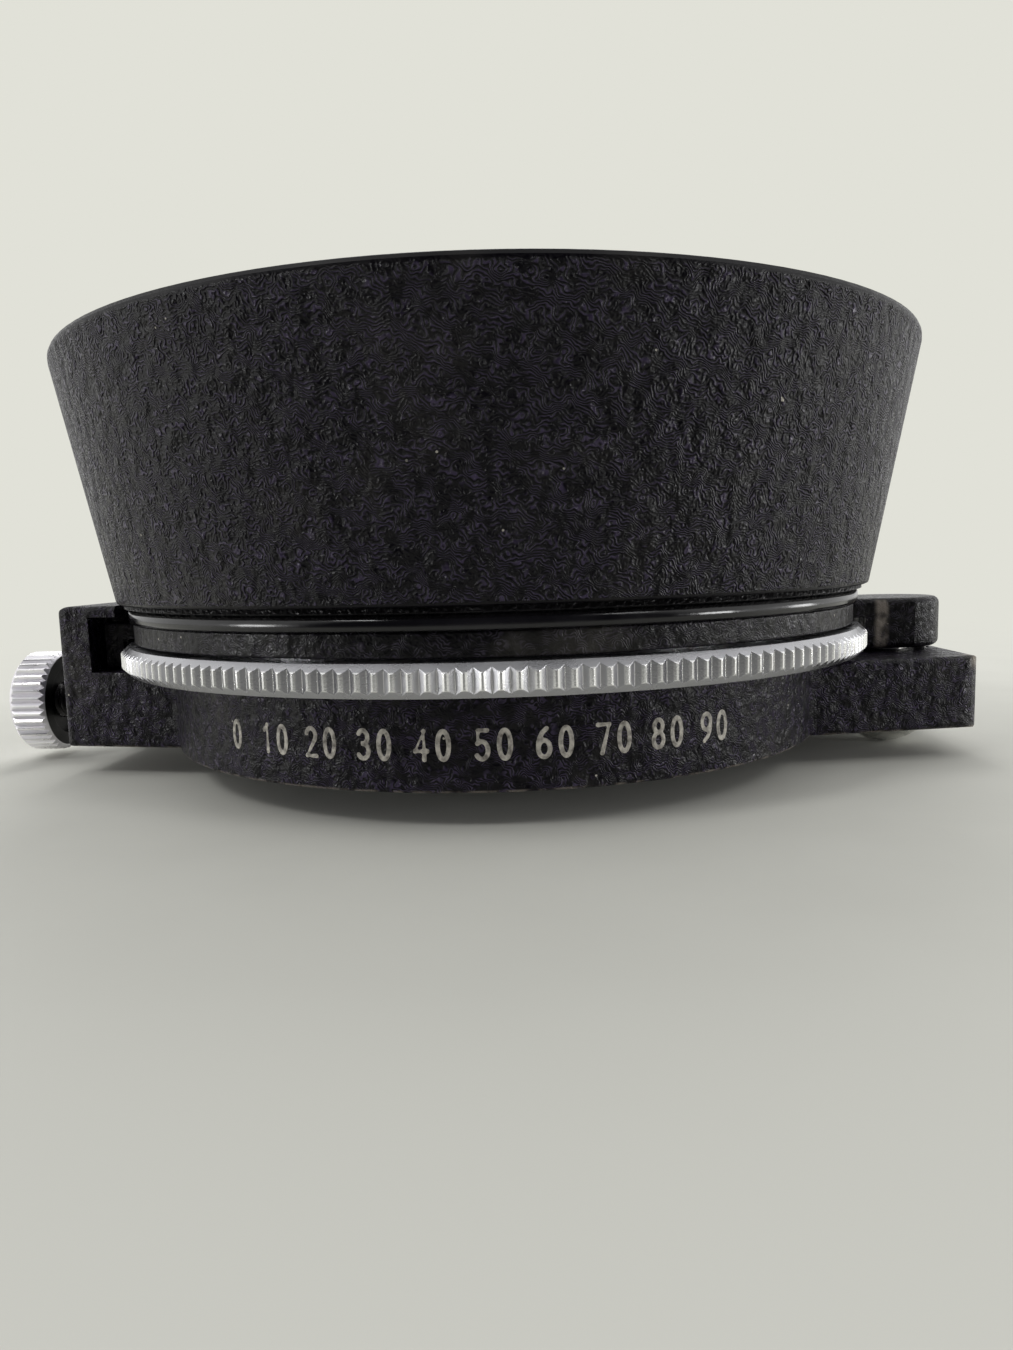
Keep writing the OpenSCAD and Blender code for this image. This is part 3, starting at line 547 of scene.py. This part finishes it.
fibre, shader = new_material("vulcanised fibre")
place = object_place(fibre)
threads = add(fibre, "ShaderNodeTexNoise", Vector=place, Scale=scale_for(0.3), Detail=5.0, Distortion=2.0)
link(fibre, ramp(fibre, threads.outputs["Fac"], 0.3, 0.75, linear("#141313"), linear("#2b2826")),
     shader.inputs["Base Color"])
bump = add(fibre, "ShaderNodeBump", Strength=0.6, Distance=0.02 * MM, Height=threads.outputs["Fac"])
link(fibre, bump.outputs["Normal"], shader.inputs["Normal"])
shader.inputs["Roughness"].default_value = 0.75

# %% [markdown]
# ## Finishes on the CAD pieces
#
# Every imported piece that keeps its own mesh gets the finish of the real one.

# %% Give each CAD piece its finish
FINISHES = {
    "hood_shell": hood_enamel, "base_ring": ring_enamel, "swing_ring": swing_enamel,
    "hood_neck": gloss_enamel, "hood_nut": blackened_brass, "ring_keeper": blackened_brass,
    "glass_retainer": blackened_brass, "knurled_ring": knurl_chrome, "clamp_knob": knob_chrome,
    "pivot_screw": screw_chrome, "lens_liner": fibre, "clamp_shoe": fibre,
    "rear_glass": cover_glass, "front_glass": cover_glass, "polarizing_film": grey_film,
}
for name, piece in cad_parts.items():
    piece.data.materials.clear()
    piece.data.materials.append(FINISHES.get(name, turned_steel))
print(len(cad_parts), "CAD pieces finished")

# %% [markdown]
# ## The clamp screw's thread
#
# The clamp screw is an M3 screw with a fine 0.5 mm thread, seen between the knob and the lug. The CAD solid
# is a plain bar of the thread's outer size. Here the bar is drawn again in many thin slices, and each slice
# is pressed in where the thread's valley passes it, so the thread winds along it once every 0.5 mm.

# %% Cut the thread
PITCH = 0.5 * MM
THREAD_DEPTH = 0.3 * MM
SLICES_PER_TURN = 6
VALLEY_HALF = 0.42                         # half the width of the thread's valley, in turns
END_MARGIN = 0.1 * MM                      # left uncut at both ends of the thread
TIP_LENGTH = 1.2 * MM
TIP_SHOULDER = 0.15 * MM
TIP_THICKNESS = 0.73                       # of the bar's own
bar_low, bar_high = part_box("clamp_screw")
bar_radius = (bar_high.z - bar_low.z) / 2
bar_axis_z = (bar_high.z + bar_low.z) / 2
threaded_length = bar_high.x - TIP_LENGTH - bar_low.x
slices = round(threaded_length / (PITCH / SLICES_PER_TURN))

bpy.ops.object.select_all(action="DESELECT")
bpy.ops.mesh.primitive_circle_add(vertices=36, radius=bar_radius, fill_type="NGON",
                                  location=(bar_low.x, 0, bar_axis_z), rotation=(0, math.pi / 2, 0))
screw = bpy.context.object
screw.name = "threaded_clamp_screw"
bpy.ops.object.transform_apply(location=True, rotation=True, scale=True)
bpy.ops.object.mode_set(mode="EDIT")
bpy.ops.mesh.select_all(action="SELECT")
for _ in range(slices):
    bpy.ops.mesh.extrude_region_move(TRANSFORM_OT_translate={"value": (threaded_length / slices, 0, 0)})
# the plain tip that sits in the shoe
bpy.ops.mesh.extrude_region_move(TRANSFORM_OT_translate={"value": (TIP_SHOULDER, 0, 0)})
bpy.ops.transform.resize(value=(1, TIP_THICKNESS, TIP_THICKNESS))
bpy.ops.mesh.extrude_region_move(TRANSFORM_OT_translate={"value": (TIP_LENGTH - TIP_SHOULDER, 0, 0)})
bpy.ops.mesh.select_all(action="SELECT")
bpy.ops.mesh.normals_make_consistent(inside=False)
bpy.ops.object.mode_set(mode="OBJECT")

for vertex in screw.data.vertices:
    along = vertex.co.x - bar_low.x
    off = Vector((0, vertex.co.y, vertex.co.z - bar_axis_z))
    on_skin = off.length >= bar_radius * 0.9
    if not (on_skin and END_MARGIN < along < threaded_length - END_MARGIN):
        continue
    turn = math.atan2(off.z, off.y) / (2 * math.pi)
    phase = (along / PITCH - turn) % 1
    cut_in = THREAD_DEPTH * max(0, 1 - abs(phase - 0.5) / VALLEY_HALF)
    vertex.co -= off.normalized() * cut_in
bpy.ops.object.shade_smooth_by_angle(angle=math.radians(50))
# the screw's dark steel is painted shade
screw.data.materials.append(steel_painted_dark_for_shade)
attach(screw, "screw")
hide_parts("clamp_screw")
print("thread:", slices, "slices,", len(screw.data.polygons), "faces")

# %% [markdown]
# ## The click spring
#
# Inside the hinge lug a short coil spring presses the click ball into its dimple. As the ring swings, the
# ball is pushed down and the coil shortens, which no rigid body can do. So the coil's mesh is copied and its
# loose triangles are merged.

# %% Copy the spring
bpy.ops.object.select_all(action="DESELECT")
coil = bpy.data.objects.new("click_coil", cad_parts["click_spring"].data.copy())
bpy.context.collection.objects.link(coil)
coil.select_set(True)
bpy.context.view_layer.objects.active = coil
bpy.ops.object.mode_set(mode="EDIT")
bpy.ops.mesh.select_all(action="SELECT")
bpy.ops.mesh.remove_doubles(threshold=0.001 * MM)
bpy.ops.object.mode_set(mode="OBJECT")
bpy.ops.object.shade_smooth_by_angle(angle=math.radians(50))
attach(coil, "base")
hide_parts("click_spring")
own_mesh(coil)

# %% [markdown]
# ## The numbered scale
#
# Numbers from 0 to 90 run round the front of the clamp ring. On the real ring such marks are cut by a
# pantograph engraver, whose round cutter leaves strokes of one width with round ends, and are then filled
# with pale paint. So each digit is drawn as the cutter's path: a thin tube along the path with a ball at
# each end. A voxel remesh fuses them into one skin, which is flattened and laid round the ring.

# %% Paths of the ten digits, one unit wide and two high
def arc(x, y, radius_x, radius_y, start, end, count=14):
    """Points of an arc between two angles in degrees."""
    angles = [math.radians(start + (end - start) * i / (count - 1)) for i in range(count)]
    return [(x + radius_x * math.cos(a), y + radius_y * math.sin(a)) for a in angles]


SIX = [arc(0.5, 0.58, 0.48, 0.58, 0, 360, 22),
       [(0.02, 0.6), (0.04, 1.0), (0.14, 1.35), (0.36, 1.7), (0.72, 1.98)]]
DIGITS = {
    0: [arc(0.5, 1.0, 0.46, 1.0, 0, 360, 28)],
    1: [[(0.22, 1.62), (0.58, 2.0), (0.58, 0.0)]],
    2: [arc(0.5, 1.48, 0.46, 0.52, 165, -35) + [(0.04, 0.0), (0.98, 0.0)]],
    3: [arc(0.48, 1.52, 0.42, 0.48, 150, -90), arc(0.48, 0.54, 0.48, 0.54, 90, -150)],
    4: [[(0.74, 0.0), (0.74, 2.0), (0.0, 0.6), (1.0, 0.6)]],
    5: [[(0.9, 2.0), (0.2, 2.0), (0.12, 1.1)] + arc(0.46, 0.62, 0.5, 0.62, 122, -145)],
    6: SIX,
    7: [[(0.02, 2.0), (0.98, 2.0), (0.36, 0.0)]],
    8: [arc(0.5, 1.54, 0.4, 0.46, 0, 360, 20), arc(0.5, 0.54, 0.48, 0.54, 0, 360, 22)],
    9: [[(1 - x, 2 - y) for x, y in path] for path in SIX],
}

# %% Model each digit once
STROKE_MM = 0.30
SHARP_TURN = math.radians(40)
FUSING_SCALE = 10
VOXEL = 0.55                               # in millimetres at ten times the digit's size
DIGIT_HEIGHT_MM = 2.0
DIGIT_WIDTH_MM = 1.02
path_height = DIGIT_HEIGHT_MM - STROKE_MM
path_width = DIGIT_WIDTH_MM - STROKE_MM


def digit_mesh(value):
    """The digit as one closed skin, in millimetres, its strokes in the plane y = 0."""
    bpy.ops.object.select_all(action="DESELECT")
    made = []
    for path in DIGITS[value]:
        points = [(x * path_width, 0, y * path_height / 2) for x, y in path]
        curve = bpy.data.curves.new("cutter path", "CURVE")
        curve.dimensions = "3D"
        curve.bevel_depth = STROKE_MM / 2
        curve.bevel_resolution = 3
        curve.use_fill_caps = True
        spline = curve.splines.new("POLY")
        spline.points.add(len(points) - 1)
        for point, place in zip(spline.points, points):
            point.co = (*place, 1)
        tube = bpy.data.objects.new("stroke", curve)
        bpy.context.collection.objects.link(tube)
        made.append(tube)
        # a ball at each end and each sharp corner
        for i, place in enumerate(points):
            if 0 < i < len(points) - 1:
                before = Vector(points[i - 1]) - Vector(place)
                after = Vector(place) - Vector(points[i + 1])
                if before.angle(after) < SHARP_TURN:
                    continue
            bpy.ops.mesh.primitive_ico_sphere_add(subdivisions=3, radius=STROKE_MM / 2, location=place)
            made.append(bpy.context.object)
    bpy.ops.object.select_all(action="DESELECT")
    for piece in made:
        piece.select_set(True)
    bpy.context.view_layer.objects.active = made[0]
    bpy.ops.object.convert(target="MESH")
    bpy.ops.object.join()
    digit = bpy.context.object
    bpy.ops.object.transform_apply(location=True, rotation=True, scale=True)
    fuse = digit.modifiers.new("fuse", "REMESH")
    fuse.mode = "VOXEL"
    # the modifier's finest voxel is a tenth of a unit, so the digit is fused at ten times its size
    digit.scale = (FUSING_SCALE,) * 3
    bpy.ops.object.transform_apply(location=False, rotation=False, scale=True)
    fuse.voxel_size = VOXEL
    bpy.ops.object.modifier_apply(modifier=fuse.name)
    digit.scale = (1 / FUSING_SCALE,) * 3
    bpy.ops.object.transform_apply(location=False, rotation=False, scale=True)
    return digit


# %% Lay the numbers round the ring
SCALE_START, SCALE_END = -37.5, 35.0       # degrees round the ring from its front, to the right
SCALE_MIDDLE_MM = 2.9
DIGIT_GAP_MM = 0.30
PROUD_MM = 0.018                           # how far the paint stands out
RING_RADIUS_MM = 25.7
masters = {value: digit_mesh(value) for value in DIGITS}
numbers = []
for mark in range(10):
    middle = math.radians(SCALE_START + (SCALE_END - SCALE_START) * mark / 9)
    word = [int(c) for c in str(mark * 10)]
    width = len(word) * DIGIT_WIDTH_MM + (len(word) - 1) * DIGIT_GAP_MM
    for position, value in enumerate(word):
        left = position * (DIGIT_WIDTH_MM + DIGIT_GAP_MM) - width / 2
        digit = masters[value].copy()
        digit.data = masters[value].data.copy()
        bpy.context.collection.objects.link(digit)
        for vertex in digit.data.vertices:
            u, depth, v = vertex.co
            angle = middle + (left + STROKE_MM / 2 + u) / RING_RADIUS_MM
            # a round tube becomes a low cushion: its back lies in the metal
            radius = RING_RADIUS_MM - depth / (STROKE_MM / 2) * PROUD_MM
            vertex.co = Vector((radius * math.sin(angle), -radius * math.cos(angle),
                                SCALE_MIDDLE_MM - path_height / 2 + v)) * MM
        numbers.append(digit)
bpy.ops.object.select_all(action="DESELECT")
for digit in numbers:
    digit.select_set(True)
bpy.context.view_layer.objects.active = numbers[0]
bpy.ops.object.join()
scale_numbers = bpy.context.object
scale_numbers.name = "scale_numbers"
bpy.ops.object.mode_set(mode="EDIT")
bpy.ops.mesh.select_all(action="SELECT")
bpy.ops.mesh.normals_make_consistent(inside=False)
bpy.ops.object.mode_set(mode="OBJECT")
bpy.ops.object.shade_smooth()
for master in masters.values():
    bpy.data.objects.remove(master)
print("scale:", len(numbers), "digits,", len(scale_numbers.data.polygons), "faces")

# %% [markdown]
# ## The scale's paint
#
# The fill is an old oil paint: warm grey, chalky, thinner where the cutter ran shallow.

# %% Filling paint
filling_paint, shader = new_material("chalky filling paint")
place = object_place(filling_paint)
chalk = add(filling_paint, "ShaderNodeTexNoise", Vector=place, Scale=scale_for(0.35), Detail=5.0)
chalky = ramp(filling_paint, chalk.outputs["Fac"], 0.32, 0.62, linear("#6f6a64"), linear("#c9c4ba"))
link(filling_paint, chalky, shader.inputs["Base Color"])
bump = add(filling_paint, "ShaderNodeBump", Strength=0.7, Distance=0.03 * MM, Height=chalk.outputs["Fac"])
link(filling_paint, bump.outputs["Normal"], shader.inputs["Normal"])
shader.inputs["Roughness"].default_value = 0.6
scale_numbers.data.materials.clear()
scale_numbers.data.materials.append(filling_paint)
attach(scale_numbers, "base")

# %% [markdown]
# ## Light and floor
#
# Black crinkle shows only what it mirrors, so the room does most of the work: pale all round, and darker on
# the side that the viewer stands on. Three low lamps at the sides brighten the cone's flanks, two at the
# front draw the glints on the wrinkles and the chrome, and a large one above and behind lights the floor.
# The floor is a pale sheet, painted a little darker towards the viewer as painted shade. Far out it takes
# the colour of the air behind it, so no horizon shows, and the viewer's own shade lies on it only for the
# rays that the hood mirrors.

# %% The room
AIR = "#e1e1d8"
ROOM_PALE, ROOM_DARK = "#f6f6f5", "#38373e"
world = bpy.data.worlds.new("pale room")
bpy.context.scene.world = world
world.use_nodes = True
background = world.node_tree.nodes["Background"]
direction = add(world, "ShaderNodeTexCoord").outputs["Generated"]
toward_viewer = add(world, "ShaderNodeVectorMath", {"operation": "DOT_PRODUCT"},
                    i0=direction, i1=(0.06, -1.0, 0.0)).outputs["Value"]
# half of it plus the node's own half: 0 away from the viewer, 1 towards the viewer
facing = math_node(world, "MULTIPLY_ADD", toward_viewer, 0.5)
room = ramp(world, facing, 0.69, 0.81, linear(ROOM_PALE), linear(ROOM_DARK))
path = add(world, "ShaderNodeLightPath")
seen = math_node(world, "MAXIMUM", path.outputs["Is Camera Ray"], path.outputs["Is Transmission Ray"])
link(world, blend_colours(world, seen, room, linear(AIR)), background.inputs["Color"])
background.inputs["Strength"].default_value = 1.0


def soft_lamp(name, place, size, watts):
    """A square lamp that faces the middle of the hood."""
    bpy.ops.object.light_add(type="AREA", location=place)
    lamp = bpy.context.object
    lamp.name = name
    lamp.data.size = size
    lamp.data.energy = watts
    aim = Vector((0, 0, 0.012)) - lamp.location
    lamp.rotation_euler = aim.to_track_quat("-Z", "Y").to_euler()


soft_lamp("lamp left", (-0.33, -0.15, 0.040), 0.07, 0.24)
soft_lamp("lamp right", (0.33, -0.14, 0.040), 0.07, 0.22)
soft_lamp("lamp far right", (0.35, 0.07, 0.040), 0.07, 0.12)
soft_lamp("lamp front left", (-0.20, -0.22, 0.30), 0.08, 0.24)
soft_lamp("lamp front right", (0.22, -0.20, 0.28), 0.08, 0.10)
soft_lamp("lamp above", (0.0, 0.25, 0.42), 0.20, 0.40)

# %% Floor
FLOOR_GAP = 0.02 * MM
SHADE_FROM, SHADE_TO = -50 * MM, -110 * MM        # towards the viewer
NEARER_FROM, NEARER_TO = -15 * MM, -65 * MM
AIR_FROM, AIR_TO = 35 * MM, 170 * MM              # away from the hood, all round
bpy.ops.mesh.primitive_plane_add(size=6, location=(0, 0, cad_low.z - FLOOR_GAP))
floor = bpy.context.object
floor.name = "floor"
paper, shader = new_material("plain paper floor")
place = object_place(paper)
fibres = add(paper, "ShaderNodeTexNoise", Vector=place, Scale=scale_for(8), Detail=5.0)
plain = ramp(paper, fibres.outputs["Fac"], 0.3, 0.7, linear("#d5d5cd"), linear("#d9d9d1"))
shader.inputs["Roughness"].default_value = 0.9
# the viewer stands over the front of the sheet, and their shade shows only in what the enamel mirrors
camera_ray = add(paper, "ShaderNodeLightPath").outputs["Is Camera Ray"]
forward = add(paper, "ShaderNodeSeparateXYZ", Vector=place).outputs["Y"]
shade = math_node(paper, "MULTIPLY", step(paper, forward, SHADE_FROM, SHADE_TO, 0.0, 0.85),
                  math_node(paper, "SUBTRACT", 1.0, camera_ray))
# painted shade: the sheet is painted a little darker towards the viewer
painted_shade_near_viewer = step(paper, forward, NEARER_FROM, NEARER_TO)
plain = blend_colours(paper, painted_shade_near_viewer, plain, linear("#c3c3bc"))
link(paper, blend_colours(paper, shade, plain, linear("#1c1c1f")), shader.inputs["Base Color"])
air = add(paper, "ShaderNodeEmission", Color=linear(AIR), Strength=1.0)
away = add(paper, "ShaderNodeVectorMath", {"operation": "LENGTH"}, i0=place).outputs["Value"]
far_and_seen = math_node(paper, "MULTIPLY", step(paper, away, AIR_FROM, AIR_TO), camera_ray)
mixed = add(paper, "ShaderNodeMixShader", i0=far_and_seen, i1=shader.outputs["BSDF"],
            i2=air.outputs["Emission"])
link(paper, mixed.outputs["Shader"], paper.node_tree.nodes["Material Output"].inputs["Surface"])
floor.data.materials.append(paper)
